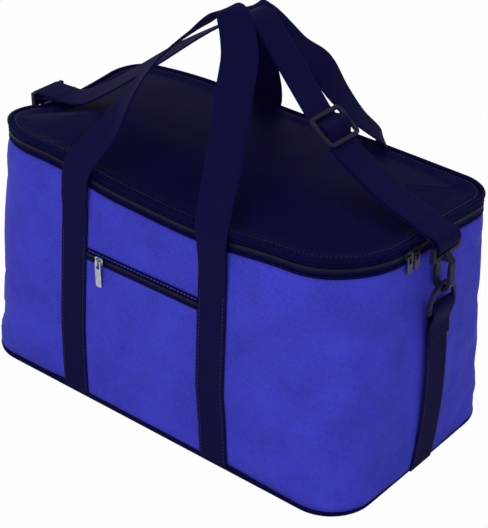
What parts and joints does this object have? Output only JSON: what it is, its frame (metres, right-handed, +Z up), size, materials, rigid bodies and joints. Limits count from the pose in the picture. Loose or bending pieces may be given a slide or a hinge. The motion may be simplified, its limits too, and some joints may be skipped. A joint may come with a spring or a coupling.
{
  "type": "insulated food bag",
  "caption": "Soft insulated carrier bag with a domed zipped lid, front zip pocket, webbing carrying handles gathered above the lid, and a clip-on shoulder strap.",
  "frame": {"origin": "middle of the base, on the floor", "axes": "+X along the bag's length to the end with the main zip's sliders, -Y to the front pocket, +Z up"},
  "size_m": [0.489, 0.246, 0.3882],
  "materials": {
    "blue_cloth": "coated woven polyester, satin",
    "navy_cloth": "coated woven polyester, matt",
    "navy_webbing": "ribbed webbing, matt",
    "silver_film": "metallised film",
    "white_foam": "closed-cell foam",
    "grey_board": "board",
    "black_plastic": "moulded plastic, satin",
    "bright_metal": "plated die casting"
  },
  "bodies": {
    "tub": {"bottom_panel": "navy_cloth", "base_board": "grey_board", "outer_wall": "blue_cloth", "wall_foam_front": "white_foam", "wall_foam_rear": "white_foam", "wall_foam_left": "white_foam", "wall_foam_right": "white_foam", "wall_foam_corner_front_left": "white_foam", "wall_foam_corner_front_right": "white_foam", "wall_foam_corner_rear_left": "white_foam", "wall_foam_corner_rear_right": "white_foam", "liner": "silver_film", "rim_binding": "navy_cloth", "rim_piping": "navy_cloth", "main_zip_tape_lower": "navy_cloth", "main_zip_coil_lower": "navy_cloth", "hinge_strip": "navy_cloth", "pocket_panel": "blue_cloth", "pocket_zip_tape_lower": "navy_cloth", "pocket_zip_tape_upper": "navy_cloth", "pocket_zip_coil": "navy_cloth", "front_handle_leg_left": "navy_webbing", "front_handle_leg_right": "navy_webbing", "rear_handle_leg_left": "navy_webbing", "rear_handle_leg_right": "navy_webbing", "end_strap_left": "navy_webbing", "end_strap_right": "navy_webbing"},
    "lid": {"lid_panel": "navy_cloth", "lid_foam": "white_foam", "lid_liner": "silver_film", "lid_piping": "navy_cloth", "lid_back_band": "navy_cloth", "main_zip_tape_upper": "navy_cloth", "main_zip_coil_upper": "navy_cloth"},
    "front_handle": {"front_handle_loop": "navy_webbing"},
    "rear_handle": {"rear_handle_loop": "navy_webbing"},
    "strap": {"shoulder_strap": "navy_webbing", "strap_adjuster": "black_plastic", "hook_left": "black_plastic", "hook_right": "black_plastic"},
    "gate_left": {"hook_gate_left": "black_plastic"},
    "gate_right": {"hook_gate_right": "black_plastic"},
    "ring_left": {"d_ring_left": "black_plastic"},
    "ring_right": {"d_ring_right": "black_plastic"},
    "front_slider": {"main_zip_slider_front": "bright_metal"},
    "rear_slider": {"main_zip_slider_rear": "bright_metal"},
    "front_pull": {"main_zip_pull_front": "bright_metal"},
    "rear_pull": {"main_zip_pull_rear": "bright_metal"},
    "pocket_slider": {"pocket_zip_slider": "bright_metal"},
    "pocket_pull": {"pocket_zip_pull": "bright_metal"}
  },
  "joints": [
    {"name": "lid_hinge", "type": "hinge", "parent": "tub", "child": "lid", "pos_m": [0, 0.1055, 0.2282], "axis": [-1, 0, 0], "range_deg": [0, 100], "deforming": ["shoulder_strap", "strap_adjuster"]},
    {"name": "front_handle_fold", "type": "hinge", "parent": "tub", "child": "front_handle", "pos_m": [0, -0.10998, 0.213], "axis": [1, 0, 0], "range_deg": [0, 170]},
    {"name": "rear_handle_fold", "type": "hinge", "parent": "tub", "child": "rear_handle", "pos_m": [0, 0.10998, 0.213], "axis": [-1, 0, 0], "range_deg": [0, 170]},
    {"name": "shoulder_strap_swing", "type": "hinge", "parent": "tub", "child": "strap", "pos_m": [0, 0, 0.1795], "axis": [1, 0, 0], "range_deg": [-3, 3]},
    {"name": "d_ring_left_tilt", "type": "hinge", "parent": "tub", "child": "ring_left", "pos_m": [-0.236, 0, 0.1765], "axis": [0, 1, 0], "range_deg": [-3, 3]},
    {"name": "d_ring_right_tilt", "type": "hinge", "parent": "tub", "child": "ring_right", "pos_m": [0.236, 0, 0.1765], "axis": [0, 1, 0], "range_deg": [-3, 3]},
    {"name": "hook_gate_left_open", "type": "hinge", "parent": "strap", "child": "gate_left", "pos_m": [-0.243, 0, 0.2199], "axis": [0, -1, 0], "range_deg": [0, 20]},
    {"name": "hook_gate_right_open", "type": "hinge", "parent": "strap", "child": "gate_right", "pos_m": [0.243, 0, 0.2199], "axis": [0, 1, 0], "range_deg": [0, 20]},
    {"name": "main_zip_front_run", "type": "hinge", "parent": "tub", "child": "front_slider", "pos_m": [0.151, -0.035, 0.23595], "axis": [0, 0, -1], "range_deg": [0, 80]},
    {"name": "main_zip_rear_run", "type": "slide", "parent": "tub", "child": "rear_slider", "axis": [0, 1, 0], "range_m": [0, 0.058]},
    {"name": "front_pull_swing", "type": "hinge", "parent": "front_slider", "child": "front_pull", "pos_m": [0.2245, -0.035, 0.23535], "axis": [0, -1, 0], "range_deg": [0, 150]},
    {"name": "rear_pull_swing", "type": "hinge", "parent": "rear_slider", "child": "rear_pull", "pos_m": [0.2245, -0.025, 0.23535], "axis": [0, -1, 0], "range_deg": [0, 150]},
    {"name": "pocket_zip_run", "type": "slide", "parent": "tub", "child": "pocket_slider", "axis": [1, 0, 0], "range_m": [0, 0.106]},
    {"name": "pocket_pull_swing", "type": "hinge", "parent": "pocket_slider", "child": "pocket_pull", "pos_m": [-0.057, -0.11722, 0.1594], "axis": [-1, 0, 0], "range_deg": [0, 150]}
  ],
  "couplings": [
    {"joint": "front_handle_fold", "follows": "lid_hinge", "ratio": 1.7},
    {"joint": "rear_handle_fold", "follows": "lid_hinge", "ratio": 1.7}
  ]
}
